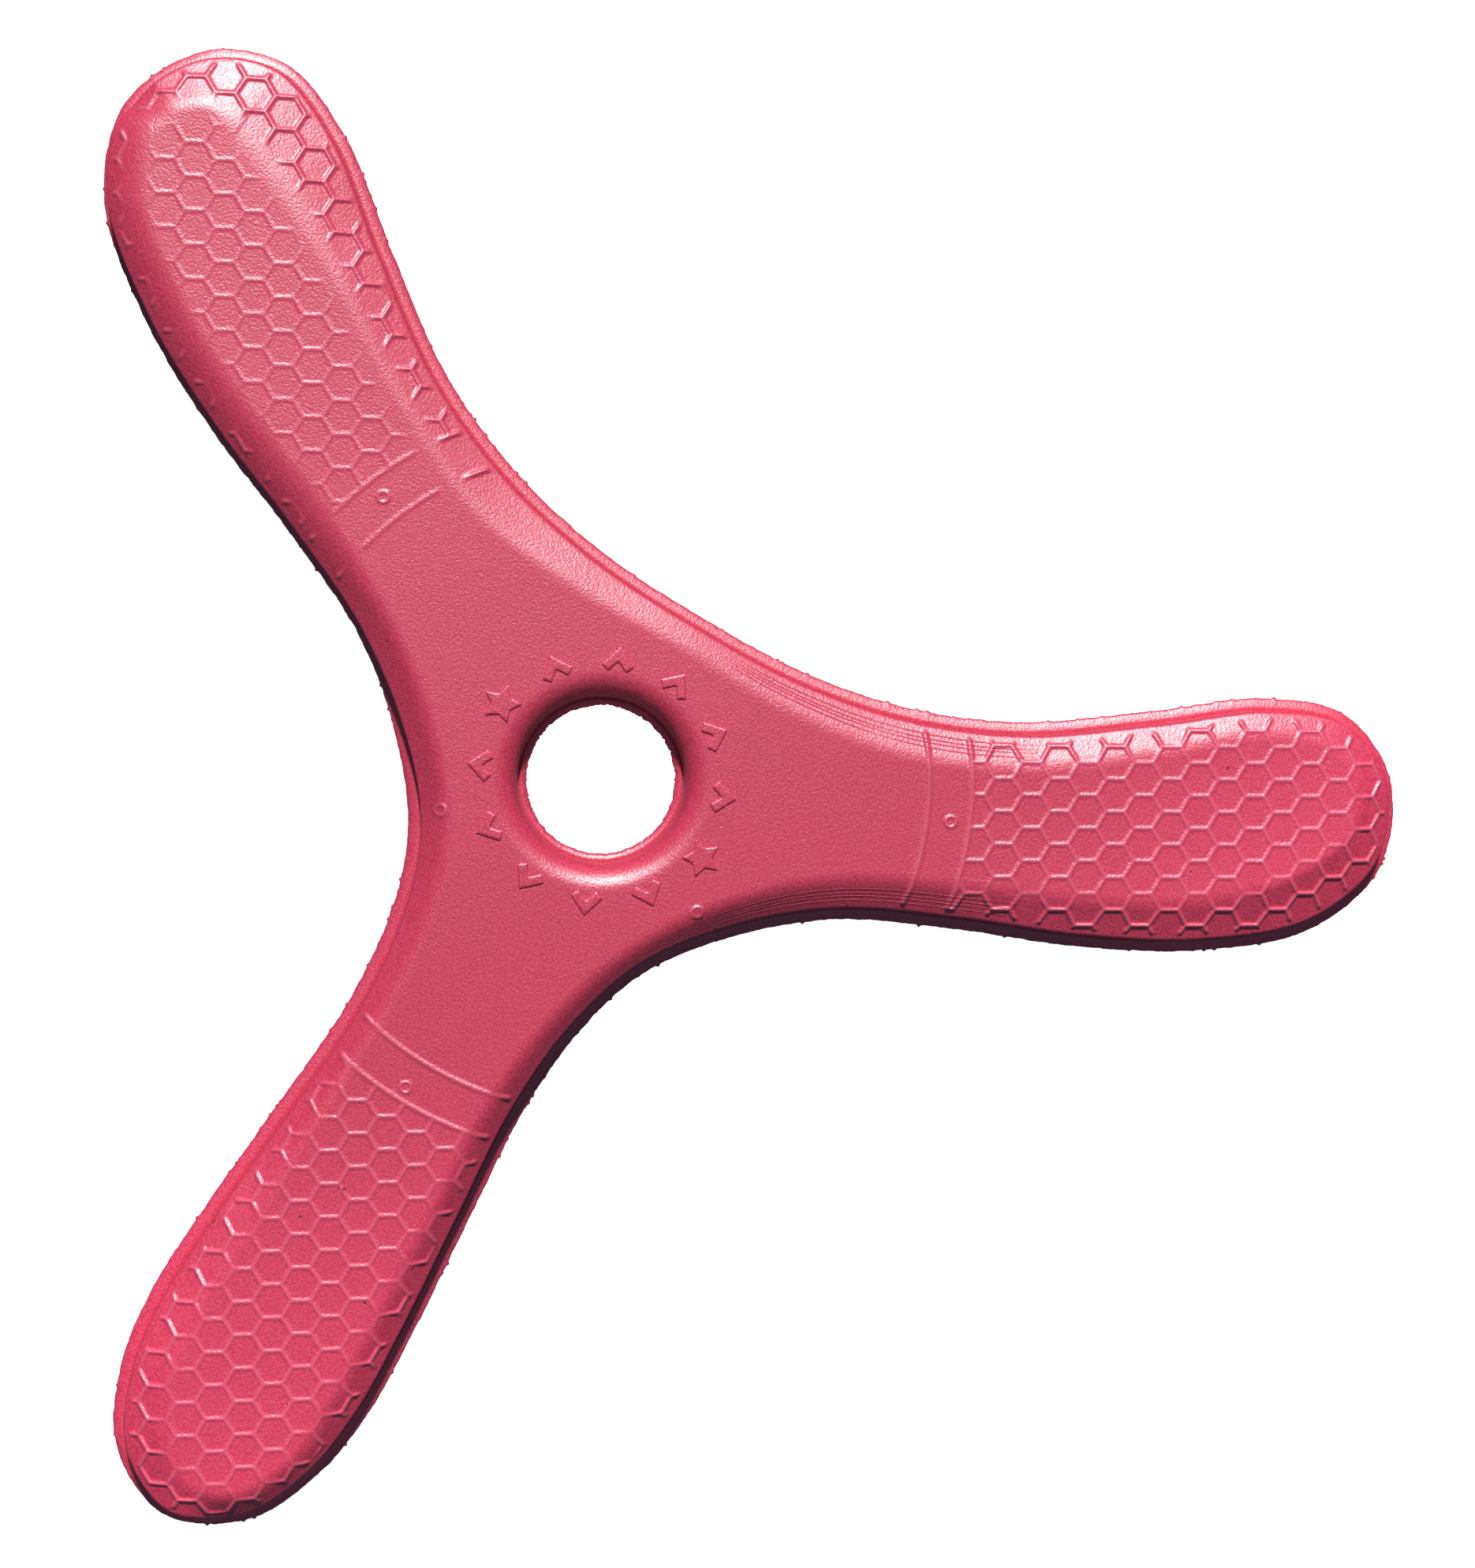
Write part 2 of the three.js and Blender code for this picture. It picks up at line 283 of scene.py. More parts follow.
def spline_piece(p0, p1, p2, p3, share):
    """A point of the centripetal curve between p1 and p2."""
    d0, d1, d2 = ((b - a).length ** 0.5 for a, b in ((p0, p1), (p1, p2), (p2, p3)))
    t1 = ((p1 - p0) / d0 - (p2 - p0) / (d0 + d1) + (p2 - p1) / d1) * d1
    t2 = ((p2 - p1) / d1 - (p3 - p1) / (d1 + d2) + (p3 - p2) / d2) * d1
    c2 = -3 * p1 + 3 * p2 - 2 * t1 - t2
    c3 = 2 * p1 - 2 * p2 + t1 + t2
    return p1 + t1 * share + c2 * share ** 2 + c3 * share ** 3


def evenly_spaced(fine):
    """Points a fixed way apart along a closed line of points with a width, and the width at each."""
    lengths = [0]
    for i in range(len(fine)):
        step = fine[(i + 1) % len(fine)].xy - fine[i].xy
        lengths.append(lengths[-1] + step.length)
    count = round(lengths[-1] / EDGE_SPACING)
    points, widths, at = [], [], 0
    for i in range(count):
        target = lengths[-1] * i / count
        while lengths[at + 1] < target:
            at += 1
        share = (target - lengths[at]) / (lengths[at + 1] - lengths[at])
        spot = fine[at].lerp(fine[(at + 1) % len(fine)], share)
        points.append(spot.xy)
        widths.append(spot.z)
    return points, widths


class Outline:
    """The lip's edge as evenly spaced points, with the way inwards, the edge's width and the rim at each."""

    def __init__(self):
        left = [Vector((-x, y, width)) for x, y, width, _ in HALF_OUTLINE[1:-1]]
        right = [Vector((x, y, width)) for x, y, _, width in reversed(HALF_OUTLINE)]
        corners = [right.pop()] + left + right
        count = len(corners)
        fine = []
        for i in range(count):
            four = [corners[(i + step) % count] for step in (-1, 0, 1, 2)]
            fine += [spline_piece(*four, step / SPLINE_STEPS) for step in range(SPLINE_STEPS)]
        self.points, self.widths = evenly_spaced(fine)
        count = len(self.points)
        self.inwards = []
        for i in range(count):
            behind, ahead = self.points[i - 2], self.points[(i + 2) % count]
            along = (ahead - behind).normalized()
            self.inwards.append(Vector((-along.y, along.x)))
        self.overhangs = [overhang(point, -way) for point, way in zip(self.points, self.inwards)]
        self.widths = [width + more for width, more in zip(self.widths, self.overhangs)]
        self.rims = [rim_height(width, -way.y) for width, way in zip(self.widths, self.inwards)]
        self.tree = kdtree.KDTree(count)
        for i, point in enumerate(self.points):
            self.tree.insert(point.to_3d(), i)
        self.tree.balance()

    def ring(self, inset, offsets=None):
        """The outline moved inwards by inset, and further by each point's own offset."""
        extra = offsets or [0] * len(self.points)
        return [p + way * (inset + more) for p, way, more in zip(self.points, self.inwards, extra)]

    def upper_ring(self, inset):
        """A ring of the upper foam, which hangs further out over the lip in some places."""
        return self.ring(inset, [-more for more in self.overhangs])

    def depth(self, spot):
        """How far inside the lip's edge a spot lies, the width of the edge and the rim's height there."""
        _, i, _ = self.tree.find(spot.to_3d())
        count = len(self.points)
        away = spot - self.points[i]
        way = self.inwards[i]
        along = away.x * way.y - away.y * way.x
        neighbour = (i + (1 if along > 0 else -1)) % count
        share = min(1, abs(along) / EDGE_SPACING)
        width = self.widths[i] * (1 - share) + self.widths[neighbour] * share
        rim = self.rims[i] * (1 - share) + self.rims[neighbour] * share
        deep = away.dot(way)
        other = (spot - self.points[neighbour]).dot(self.inwards[neighbour])
        return deep * (1 - share) + other * share + self.overhangs[i], width, rim


# ---- the raised pattern --------------------------------------------------------------------------------

# Two numbers in brackets are where a smooth change begins and where it is complete, unless a comment says
# something else.

ROW_SHARE = math.sqrt(0.75)      # of a triangle lattice's spacing, between two of its rows

LIP = 2.4                        # from the lip's edge to the upper foam's wall
RIM_INSET = LIP + 0.5            # from the lip's edge to the rim, where the bevel begins
LOWEST_RIM = 7.2
STEEP_WIDTH, STEEP_SLOPE = 6.6, 0.85      # a slope is the bevel's climb per millimetre inwards
GENTLE_WIDTH, GENTLE_SLOPE = 8.5, 0.45
NOTCH_SIDE_SLOPE = 0.38                   # on the sides that face the notch between the swept blades
NOTCH_FACING = (0.2, 0.7)                 # how much such a side faces +Y
WIDEST_EASING = 0.08                      # taken off that slope on the widest edges
WIDEST = (11, 15)

OVERHANG = 1.3                            # of the upper foam over the lip, along the left blade's outer side
OUTER_WAY = Vector((-0.707, -0.707))      # which faces this way
OUTER_FACING = (0.64, 0.9)                # how much it does
OUTER_REACH = (25, 50)                    # to the left of the hole's centre

CREASE_SPREAD = 1.5              # how far the bevel's upper edge is rounded to either side
WIDE_SPREAD = 1.2                # more on wide edges
WIDE = (9.5, 14)
ROUND_SPREAD = 1.6               # more on the left blade, where its edge is narrower than ROUND_WIDTH
ROUND_REACH = (45, 70)
ROUND_WIDTH = STEEP_WIDTH + 2
ROUND_FADE = 1.5
CRISP_SPOT = Vector((124, 52))   # under the right blade's tip, where the upper edge is crisp
CRISP_RADIUS = 18
CRISP_FADE = 8
CRISPNESS = 0.7

WALL_RADIUS = 15                 # of the finger hole, above the parting plane
FLARE_RADIUS = 19.6              # of the hole's rounded mouth, at the top face
FLARE_DEPTH = 4.8

PATTERN_START = 56.6             # from the hole's centre to the nearest rib or line
FINE_START = 56.5                # and to the finely spaced points, just before it
BAND_RADII = (58.6, 66.4)        # of the two raised lines across each neck
BAND_SHIFTS = {"tail": 0.36, "right": 0, "left": 0}
BAND_HALF_WIDTH = 0.62
BAND_SCALE = 1.15                # of the ribs' height

CELL_PITCH = 5.9
RIB_HALF_WIDTH = 0.52
RIB_FOOT = (RIM_INSET + 0.45, RIM_INSET + 1.2)    # where ribs and lines rise out of the bevel
RIB_BEVEL_HEIGHT = 0.45          # on the bevel
RIB_CREASE = 0.4                 # inwards from the bevel's upper edge, where ribs are lowest
RIB_TURN = 2.8                   # over which a rib's height changes on either side of that

# Each blade's rib height where the bevel turns into the top face, how far that holds to either side, and the
# rib height on the top face.
RIB_FADES = {"tail": (0.1, 0.2, 0.2), "right": (0.14, 0, 0.22), "left": (0.0, 1.4, 0.11)}

# Each blade: heading in degrees, the middle of one honeycomb cell, the pattern's own turn in degrees and its
# scale, and the places of the small vent rings.
BLADES = {
    "tail": (-90, (-0.3, -103.6), 1.1, 1.0, [(-2.2, -64.3)]),
    "right": (26.5, (92.8, 45.0), 0.3, 1.004, [(57.5, 25.6)]),
    "left": (153.5, (-95.1, 41.6), 0.25, 0.997, [(-58.4, 23.3)]),
}
HUB_VENTS = [(26.5, -11.5), (-22.0, -19.0)]
VENTS = [Vector(vent) for blade in BLADES.values() for vent in blade[4]] + [Vector(v) for v in HUB_VENTS]
VENT_RADIUS = 0.95
VENT_HALF_WIDTH = 0.36
VENT_HEIGHT = 0.18

RIB_HIGHLIGHT_HEIGHT = 0.18               # ribs at least this tall get the full painted highlight on top


def heading_of(blade):
    """The way from the hole's centre out along a blade."""
    turn = math.radians(BLADES[blade][0])
    return Vector((math.cos(turn), math.sin(turn)))


def hump(distance, half_width):
    """A soft raised line's height, from 1 in its middle to 0 at its foot."""
    share = distance / half_width
    return (1 - share * share) ** 2 * (1 + 0.6 * share * share) if share < 1 else 0.0


def smooth_share(value, start, end):
    """0 before start, 1 after end, with a smooth turn between them."""
    share = min(1, max(0, (value - start) / (end - start)))
    return share * share * (3 - 2 * share)


def rib_distance(spot, blade):
    """How far a spot is from the nearest rib of a blade's honeycomb."""
    _, middle, turn, scale, _ = BLADES[blade]
    pitch = CELL_PITCH * scale
    away = Matrix.Rotation(math.radians(-turn), 2) @ (spot - Vector(middle))
    row = round(away.y / (pitch * ROW_SHARE))
    best = None
    for near in (row - 1, row, row + 1):
        shift = 0.5 * (near % 2)
        column = round(away.x / pitch - shift) + shift
        centre = Vector((column * pitch, near * pitch * ROW_SHARE))
        offset = away - centre
        if best is None or offset.length_squared < best.length_squared:
            best = offset
    across, up = best.x * 0.5, best.y * ROW_SHARE
    return pitch / 2 - max(abs(best.x), abs(across + up), abs(across - up))


def rim_height(width, northing):
    """Height of the rim, from the edge's width and how far its outward way points to the notch side, +Y."""
    share = min(1, max(0, (width - STEEP_WIDTH) / (GENTLE_WIDTH - STEEP_WIDTH)))
    slope = STEEP_SLOPE + (GENTLE_SLOPE - STEEP_SLOPE) * share
    gentler = NOTCH_SIDE_SLOPE - WIDEST_EASING * smooth_share(width, *WIDEST)
    slope += (min(slope, gentler) - slope) * smooth_share(northing, *NOTCH_FACING)
    return max(LOWEST_RIM, THICKNESS - slope * (width - RIM_INSET))


def overhang(spot, outward):
    """How much further out the upper foam reaches over the lip than it does elsewhere."""
    facing = smooth_share(outward.dot(OUTER_WAY), *OUTER_FACING)
    return OVERHANG * facing * smooth_share(-spot.x, *OUTER_REACH)


def rib_height(deep, width, blade):
    """Ribs stand tall on the bevel, fade over the soft crease, and are low on the top face."""
    crease, gap, top = RIB_FADES[blade]
    away = deep - width - RIB_CREASE
    far = RIB_BEVEL_HEIGHT if away < 0 else top
    return crease + (far - crease) * smooth_share(abs(away), gap, gap + RIB_TURN)


def relief(spot, deep, width):
    """Height of the raised pattern at a spot that lies deep inside the lip's edge."""
    radius = spot.length
    height = 0.0
    if radius > PATTERN_START:
        blade = max(BLADES, key=lambda name: heading_of(name).dot(spot))
        tallest = rib_height(deep, width, blade)
        for band in BAND_RADII:
            from_band = abs(radius - (band + BAND_SHIFTS[blade]))
            height = max(height, BAND_SCALE * tallest * hump(from_band, BAND_HALF_WIDTH))
        if radius > BAND_RADII[1] + BAND_SHIFTS[blade]:
            height = max(height, tallest * hump(rib_distance(spot, blade), RIB_HALF_WIDTH))
    height *= smooth_share(deep, *RIB_FOOT)
    for vent in VENTS:
        from_ring = abs((spot - vent).length - VENT_RADIUS)
        height = max(height, VENT_HEIGHT * hump(from_ring, VENT_HALF_WIDTH))
    return height


def crease_spread(spot, width):
    """How far the bevel's upper edge is rounded to either side of it at a spot."""
    crisp = smooth_share(CRISP_RADIUS - (spot - CRISP_SPOT).length, 0, CRISP_FADE)
    rounded = smooth_share(-spot.x, *ROUND_REACH) * smooth_share(ROUND_WIDTH - width, 0, ROUND_FADE)
    spread = CREASE_SPREAD + WIDE_SPREAD * smooth_share(width, *WIDE) + ROUND_SPREAD * rounded
    return spread * (1 - CRISPNESS * crisp)


def top_height(spot, outline):
    """Height of the upper skin, its place up the bevel from 0 to 1, and how far the pattern stands proud."""
    deep, width, rim = outline.depth(spot)
    slope = (THICKNESS - rim) / (width - RIM_INSET)
    bevel = rim + slope * (deep - RIM_INSET)
    softness = slope * crease_spread(spot, width)
    overlap = max(0, softness - abs(bevel - THICKNESS))
    ground = min(bevel, THICKNESS) - overlap * overlap / (4 * softness)
    share = min(1.0, (deep - RIM_INSET) / (width - RIM_INSET))
    raised_by = relief(spot, deep, width)
    # The last value is how much of the painted rib-top highlight a point gets.
    return ground + raised_by, share, min(1.0, raised_by / RIB_HIGHLIGHT_HEIGHT)


# ---- meshes --------------------------------------------------------------------------------------------

REACH = (-134, -155, 134, 82)    # the lowest x and y that lattices cover, then the highest
FINE = 0.3                       # spacing of the points where the pattern is
COARSE = 0.55                    # and on the hub's top
CAP_SPACING = 2.2                # and on the flat faces
RIM_MARGIN = 0.2                 # between the rim and the nearest of these points
MOUTH_MARGIN = 0.3
HOLE_POINTS = 300                # round the finger hole
MOUTH_STEPS = 12                 # round the turn from the top face into the hole
VENT_CLEARING = 1.5              # round a vent, where circles of points take over from the lattice
VENT_CIRCLES = (0.2, 0.4, 0.6, 0.78, 0.95, 1.12, 1.3)
VENT_CIRCLE_POINTS = 24
OFF_BEVEL = -1                   # the bevel share of a point that isn't on the bevel or the top


def lattice(spacing):
    """Points of a triangle lattice over the whole boomerang."""
    rise = spacing * ROW_SHARE
    for row in range(int(REACH[1] / rise), int(REACH[3] / rise) + 1):
        shift = spacing / 2 * (row % 2)
        for column in range(int(REACH[0] / spacing), int(REACH[2] / spacing) + 1):
            yield Vector((column * spacing + shift, row * rise))


def cap_points(outline, from_centre, from_edge):
    """Points for a flat face, which keep away from the hole's centre and from the lip's edge."""
    spots = [spot for spot in lattice(CAP_SPACING) if spot.length > from_centre]
    return [spot for spot in spots if outline.depth(spot)[0] > from_edge]


def circle(radius, count, offsets=None):
    """Points counter-clockwise round the hole's centre, each moved out by its own offset."""
    extra = offsets or [0] * count
    turns = [2 * math.pi * i / count for i in range(count)]
    return [Vector((math.cos(t), math.sin(t))) * (radius + more) for t, more in zip(turns, extra)]


def filled(outer, hole, loose):
    """Triangles between an outer ring and a hole, both counter-clockwise, which use the loose points too."""
    # Triangles across the hole, or outside where the outer ring turns inwards, are left out.
    edges = []
    for first, ring in ((0, outer), (len(outer), hole)):
        edges += [(first + i, first + (i + 1) % len(ring)) for i in range(len(ring))]
    found = geometry.delaunay_2d_cdt(outer + hole + loose, edges, [], 0, 1e-6, False)
    spots = found[0]
    brink = len(outer) + len(hole)

    def is_foam(face):
        first, second, third = (spots[i] for i in sorted(face))
        if max(face) < len(outer):
            return (second - first).cross(third - first) > 0
        return min(face) < len(outer) or max(face) >= brink

    return spots, [face for face in found[2] if is_foam(face)]


class Skin:
    """A closed skin put together from flat fills and from bands between rings."""

    def __init__(self):
        self.mesh = bmesh.new()
        self.share = self.mesh.verts.layers.float.new("edge_share")
        self.ridge = self.mesh.verts.layers.float.new("ridge")

    def fill(self, outer, hole, loose, height, downwards=False):
        """A face with a hole. height turns a point into its height, its bevel share and its ridge."""
        spots, triangles = filled(outer, hole, loose)
        verts = []
        for spot in spots:
            level, share, ridge = height(spot)
            vert = self.mesh.verts.new((spot.x, spot.y, level))
            vert[self.share] = share
            vert[self.ridge] = ridge
            verts.append(vert)
        for corners in triangles:
            a, b, c = (spots[i] for i in corners)
            turned = (b - a).cross(c - a) < 0
            order = corners if turned == downwards else tuple(reversed(corners))
            self.mesh.faces.new([verts[i] for i in order])

    def wall(self, levels, inner=False):
        """Bands that climb from each ring to the next.

        Each level is a ring, its height or each point's own height, and its bevel share.
        """
        rows = []
        for ring, height, share in levels:
            heights = height if isinstance(height, list) else [height] * len(ring)
            row = [self.mesh.verts.new((spot.x, spot.y, level)) for spot, level in zip(ring, heights)]
            for vert in row:
                vert[self.share] = share
            rows.append(row)
        for low, high in zip(rows, rows[1:]):
            count = len(low)
            for i in range(count):
                j = (i + 1) % count
                corners = (low[i], low[j], high[j], high[i])
                self.mesh.faces.new(tuple(reversed(corners)) if inner else corners)

    def finished(self, name):
        """The skin as a piece at the origin, in metres."""
        bmesh.ops.remove_doubles(self.mesh, verts=self.mesh.verts, dist=1e-4)
        bmesh.ops.scale(self.mesh, vec=(METRES,) * 3, verts=self.mesh.verts)
        data = bpy.data.meshes.new(name)
        self.mesh.to_mesh(data)
        self.mesh.free()
        piece = bpy.data.objects.new(name, data)
        bpy.context.collection.objects.link(piece)
        return piece


NIB_CHANCE = 0.08                # of a nib at any one point of a trimmed edge


def raggedness(count, size, depth, nib, seed):
    """Offsets round a trimmed edge: a fine waver, and many tiny nibs of foam left on."""
    chance = random.Random(seed)
    offsets = []
    for i in range(count):
        turn = 2 * math.pi * i / count
        place = Vector((math.cos(turn), math.sin(turn), seed)) * size
        waver = depth * noise.noise(place * 3) + 0.8 * depth * noise.noise(place * 9)
        stray = nib * chance.random() if chance.random() < NIB_CHANCE else 0
        offsets.append(waver - stray)
    return offsets


# Sections of the upper skin. At the foot of its outer wall: distance in from the lip's inner side, and
# height. At the rim: the same distance, and how far below the rim. In the hole: radius and height.
UPPER_FOOT = ((-0.2, PARTING), (-0.14, 5.2), (-0.04, 5.6), (0.0, 6.1))
UPPER_RIM = ((0.0, 0.85), (0.06, 0.5), (0.22, 0.2), (0.5, 0.0))
UPPER_BORE = ((14.8, PARTING), (14.86, 5.2), (14.96, 5.6), (WALL_RADIUS, 6.5))


def upper_skin(outline):
    """The upper foam as one closed skin: its patterned top, outer wall, hole and flat parting face."""
    skin = Skin()
    mouth = []
    for step in range(MOUTH_STEPS + 1):
        turn = math.radians(90 * step / MOUTH_STEPS)
        radius = FLARE_RADIUS - (FLARE_RADIUS - WALL_RADIUS) * math.sin(turn)
        height = THICKNESS - FLARE_DEPTH * (1 - math.cos(turn))
        mouth.append((circle(radius, HOLE_POINTS), height, 1))
    loose = []
    fields = ((COARSE, FLARE_RADIUS + MOUTH_MARGIN, FINE_START), (FINE, FINE_START, math.inf))
    for spacing, near, far in fields:
        for spot in lattice(spacing):
            if near < spot.length <= far and outline.depth(spot)[0] > RIM_INSET + RIM_MARGIN:
                loose.append(spot)
    for vent in VENTS:
        loose = [spot for spot in loose if (spot - vent).length > VENT_CLEARING] + [vent]
        for radius in VENT_CIRCLES:
            loose += [vent + spot for spot in circle(radius, VENT_CIRCLE_POINTS)]
    skin.fill(outline.upper_ring(RIM_INSET), mouth[0][0], loose, lambda spot: top_height(spot, outline))
    levels = [(outline.upper_ring(LIP + inset), height, OFF_BEVEL) for inset, height in UPPER_FOOT]
    for inset, drop in UPPER_RIM:
        tops = [rim - drop for rim in outline.rims]
        levels.append((outline.upper_ring(LIP + inset), tops, OFF_BEVEL if drop else 0))
    skin.wall(levels)
    bore = [(circle(radius, HOLE_POINTS), height, 1) for radius, height in UPPER_BORE]
    skin.wall(bore + list(reversed(mouth)), inner=True)
    loose = cap_points(outline, from_centre=17, from_edge=4)
    skin.fill(levels[0][0], bore[0][0], loose, lambda spot: (PARTING, OFF_BEVEL, 0), downwards=True)
    return skin.finished("upper_skin")


# Sections of the lower skin, from its flat underside out to the lip and in to the groove at the foot of the
# upper wall: distance in from the edge, height, and how far the trimmed edge's waver moves it.
LOWER_EDGE = [
    (3.2, 0.0, 0), (2.5, 0.2, 0), (1.95, 0.8, 0), (1.7, 1.8, 0), (1.6, 3.0, 0), (1.35, 3.35, 0),
    (0.55, 3.6, 0.6), (0.1, 3.85, 1), (0.0, 4.15, 1), (0.1, 4.42, 1), (0.35, 4.62, 0.6),
    (0.9, 4.83, 0.2), (1.5, 5.04, 0), (1.9, 5.1, 0), (2.15, 5.0, 0), (2.4, 4.86, 0), (2.9, 4.86, 0),
]
LOWER_BORE = [
    (16.2, 0.0, 0), (15.5, 0.25, 0), (15.0, 0.9, 0), (14.85, 2.0, 0), (14.8, 3.1, 0), (14.5, 3.45, 0),
    (13.9, 3.65, 0.6), (13.45, 3.85, 1), (13.35, 4.15, 1), (13.42, 4.42, 1), (13.6, 4.64, 0.6),
    (13.9, 4.82, 0.2), (14.3, 5.0, 0), (14.55, 4.98, 0), (14.75, 4.87, 0), (15.1, 4.86, 0), (15.5, 4.86, 0),
]


def lower_skin(outline):
    """The lower foam as one closed skin, with its lip outside and in the hole, and two flat faces."""
    skin = Skin()
    waver = raggedness(len(outline.points), size=22, depth=0.13, nib=0.45, seed=2)
    levels = []
    for inset, height, moved in LOWER_EDGE:
        levels.append((outline.ring(inset, [moved * w for w in waver]), height, OFF_BEVEL))
    skin.wall(levels)
    waver = raggedness(HOLE_POINTS, size=3.2, depth=0.2, nib=0.25, seed=5)
    bore = []
    for radius, height, moved in LOWER_BORE:
        bore.append((circle(radius, HOLE_POINTS, [-moved * w for w in waver]), height, OFF_BEVEL))
    skin.wall(bore, inner=True)
    loose = cap_points(outline, from_centre=18, from_edge=5)
    skin.fill(levels[0][0], bore[0][0], loose, lambda spot: (0, OFF_BEVEL, 0), downwards=True)
    skin.fill(levels[-1][0], bore[-1][0], loose, lambda spot: (LOWER_EDGE[-1][1], OFF_BEVEL, 0))
    return skin.finished("lower_skin")


# ---- cutting the skins into hub and blades -------------------------------------------------------------

CUT_REACH = 53.5                 # from the hole's centre to each cut between hub and blade
SMOOTH_ANGLE = 62                # degrees between two faces, past which the edge between them looks sharp


def cut_copy(skin, name, blades, keep_hub):
    """A copy of a skin cut across the blades, which keeps either the hub side or the blade's side."""
    piece = skin.copy()
    piece.data = skin.data.copy()
    piece.name = name
    piece.data.name = name
    bpy.context.collection.objects.link(piece)
    bpy.ops.object.select_all(action="DESELECT")
    piece.select_set(True)
    bpy.context.view_layer.objects.active = piece
    for blade in blades:
        way = heading_of(blade).to_3d()
        bpy.ops.object.mode_set(mode="EDIT")
        bpy.ops.mesh.select_all(action="SELECT")
        bpy.ops.mesh.bisect(
            plane_co=way * CUT_REACH * METRES, plane_no=way, use_fill=True,
            clear_outer=keep_hub, clear_inner=not keep_hub, threshold=1e-7)
        bpy.ops.object.mode_set(mode="OBJECT")
    bpy.ops.object.shade_smooth_by_angle(angle=math.radians(SMOOTH_ANGLE), keep_sharp_edges=False)
    return piece


def add_foam(skin, layer, material):
    """The hub's and the blades' shares of one skin, the hub's share put on the hub's body."""
    skin.data.materials.clear()
    skin.data.materials.append(material)
    hub = cut_copy(skin, f"hub_{layer}_skin", BLADES, True)
    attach(hub, "hub")
    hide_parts(f"hub_{layer}_foam")
    for blade in BLADES:
        piece = cut_copy(skin, f"{blade}_blade_{layer}_skin", [blade], False)
        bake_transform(piece)
        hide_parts(f"{blade}_blade_{layer}_foam")
    bpy.data.objects.remove(skin)


# ---- the ring of marks round the finger hole ------------------------------------------------------------

MARK_RING = 22.4
MARK_COUNT = 12
MARK_START = -7                  # degrees from +X of the first mark
STAR_PLACES = (0, 6)
STAR_RADIUS = 3.5
STAR_NOTCH = 0.52                # a star's inner radius as a share of the outer one
STAR_ROUNDING = 20               # rounds of smoothing
STAR_SPARE = 0.2                 # added to the radius, because smoothing takes it off again
CHEVRON_LENGTH = 3.2
CHEVRON_WIDTH = 5.6
CHEVRON_BAR = 1.5
CHEVRON_ROUNDING = 26
CHEVRON_SPARE = 0.15             # added to each side
MARK_VOXEL = 0.12
MARK_SUNK = 0.25                 # in the foam, under its top face
MARK_HEIGHT = 0.34


def raised(name, corners, rounding):
    """A flat shape with the given corners, made a soft-edged mark. It is still in millimetres."""
    bpy.ops.object.select_all(action="DESELECT")
    bpy.ops.mesh.primitive_circle_add(vertices=len(corners), radius=1, fill_type="NGON")
    mark = bpy.context.object
    mark.name = name
    mark.data.name = name
    for vert, corner in zip(mark.data.vertices, corners):
        vert.co = corner.to_3d()
    bpy.ops.object.mode_set(mode="EDIT")
    bpy.ops.mesh.select_all(action="SELECT")
    bpy.ops.mesh.extrude_region_move(TRANSFORM_OT_translate={"value": (0, 0, MARK_SUNK + MARK_HEIGHT)})
    bpy.ops.mesh.select_all(action="SELECT")
    bpy.ops.mesh.normals_make_consistent(inside=False)
    bpy.ops.object.mode_set(mode="OBJECT")
    body = mark.modifiers.new("even_faces", "REMESH")
    body.mode = "VOXEL"
    body.voxel_size = MARK_VOXEL
    soft = mark.modifiers.new("soft_edges", "SMOOTH")
    soft.factor = 0.5
    soft.iterations = rounding
    for modifier in ("even_faces", "soft_edges"):
        bpy.ops.object.modifier_apply(modifier=modifier)
    bpy.ops.object.shade_smooth()
    return mark


def star_corners():
    """The corners of a five-pointed star, with one point along +X."""
    spots = []
    for i in range(10):
        turn = i * math.pi / 5
        reach = (STAR_RADIUS + STAR_SPARE) * (1 if i % 2 == 0 else STAR_NOTCH)
        spots.append(Vector((reach * math.cos(turn), reach * math.sin(turn))))
    return spots


def chevron_corners():
    """The corners of a chevron that points along +X."""
    half = CHEVRON_WIDTH / 2 + CHEVRON_SPARE
    tip = Vector((CHEVRON_LENGTH / 2 + CHEVRON_SPARE, 0))
    foot = Vector((-tip.x, half))
    bar = (foot - tip).normalized()
    across = Vector((-bar.y, bar.x)) * (CHEVRON_BAR + 2 * CHEVRON_SPARE)
    end = foot + across
    inner = tip - Vector((across.length / bar.y, 0))
    upper = [tip, foot, end, inner]
    lower = [Vector((spot.x, -spot.y)) for spot in (end, foot)]
    return upper + lower


def add_marks(material):
    """Stars and chevrons, each modelled once, copied and turned to its place on the ring."""
    star = raised("hub_star_1", star_corners(), STAR_ROUNDING)
    chevron = raised("hub_chevron_1", chevron_corners(), CHEVRON_ROUNDING)
    counts = {"star": 0, "chevron": 0}
    for place in range(MARK_COUNT):
        kind = "star" if place in STAR_PLACES else "chevron"
        first = star if kind == "star" else chevron
        counts[kind] += 1
        mark = first.copy()
        mark.data = first.data.copy()
        mark.name = f"hub_{kind}_{counts[kind]}"
        bpy.context.collection.objects.link(mark)
        turn = Matrix.Rotation(math.radians(MARK_START + place * 360 / MARK_COUNT), 4, "Z")
        out = Matrix.Translation(Vector((MARK_RING, 0, THICKNESS - MARK_SUNK)))
        mark.data.transform(Matrix.Scale(METRES, 4) @ turn @ out)
        mark.data.materials.append(material)
        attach(mark, "hub")
    bpy.data.objects.remove(star)
    bpy.data.objects.remove(chevron)


# ---- the scene -----------------------------------------------------------------------------------------

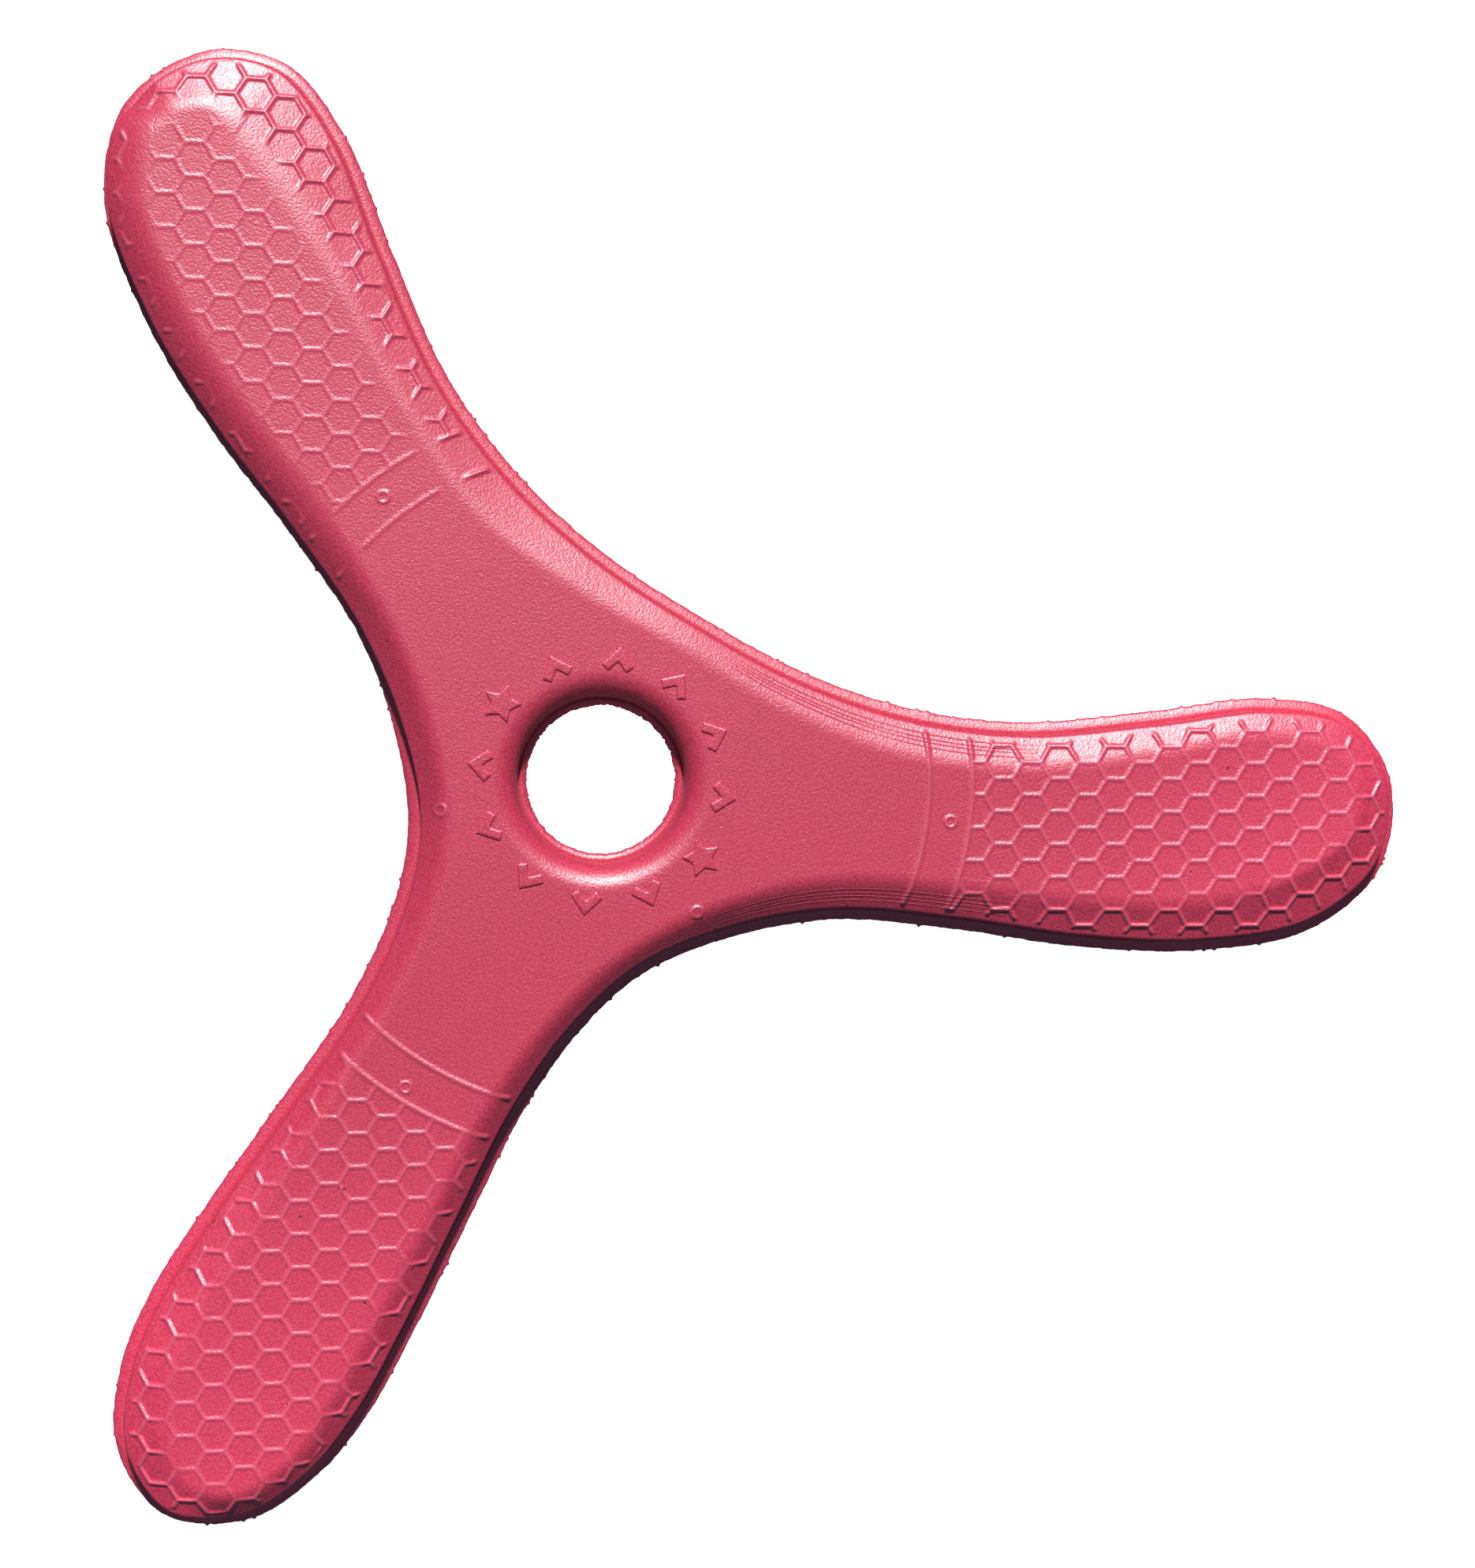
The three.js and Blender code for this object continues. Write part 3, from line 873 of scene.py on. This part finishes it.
FLOOR_SIZE = 6
FLOOR_HEIGHT = -0.036            # below the lowest reach of a bent blade
FLOOR_GREY = (0.9, 0.9, 0.9, 1)
FLOOR_PALE = (0.92, 0.92, 0.92, 1)
FLOOR_CLOUD_SIZE = 300


def add_floor():
    """A wide pale floor that glows, so that shadows on it are faint."""
    material, start = new_material("pale_floor")
    where = start.node("ShaderNodeTexCoord", output="Object")
    tone = grain(where, FLOOR_CLOUD_SIZE).blends(FLOOR_GREY, FLOOR_PALE)
    shader = start.node("ShaderNodeBsdfPrincipled", {
        "Base Color": tone, "Roughness": 0.9, "Emission Color": (1, 1, 1, 1), "Emission Strength": 0.97})
    start.node("ShaderNodeOutputMaterial", {"Surface": shader})
    bpy.ops.object.select_all(action="DESELECT")
    place = (0, 0, FLOOR_HEIGHT)
    bpy.ops.mesh.primitive_grid_add(x_subdivisions=4, y_subdivisions=4, size=FLOOR_SIZE, location=place)
    bpy.ops.object.transform_apply()
    floor = bpy.context.object
    floor.name = "floor"
    floor.data.materials.append(material)
    floor.visible_diffuse = False
    floor.visible_glossy = False


def add_room():
    """A room that gives a dim blue light, and looks about as pale as the floor."""
    world = bpy.data.worlds.new("pale_room")
    world.use_nodes = True
    world.node_tree.nodes.clear()
    start = Wire(world.node_tree)
    light = start.node("ShaderNodeBackground", {"Color": (0.5, 0.75, 1, 1), "Strength": 0.1})
    look = start.node("ShaderNodeBackground", {"Color": (0.93, 0.94, 0.96, 1), "Strength": 1.0})
    seen = start.node("ShaderNodeLightPath", output="Is Camera Ray")
    room = start.node("ShaderNodeMixShader", {0: seen, 1: light, 2: look})
    start.node("ShaderNodeOutputWorld", {"Surface": room})
    bpy.context.scene.world = world


PALE_BLUE = (0.45, 0.75, 1)

add_camera()
add_lamp("key_lamp", heading=122, height=45, distance=3, size=0.3, power=124)
add_lamp("fill_lamp", heading=-60, height=65, distance=1.2, size=1.2, power=0.5, colour=PALE_BLUE)
add_floor()
add_room()
bpy.context.scene.view_settings.view_transform = "Standard"

edge_line = Outline()
upper_foam = foam_material("upper_foam", CONTOUR_HEIGHT)
add_foam(upper_skin(edge_line), "upper", upper_foam)
add_marks(upper_foam)
add_foam(lower_skin(edge_line), "lower", foam_material("lower_foam", 0))
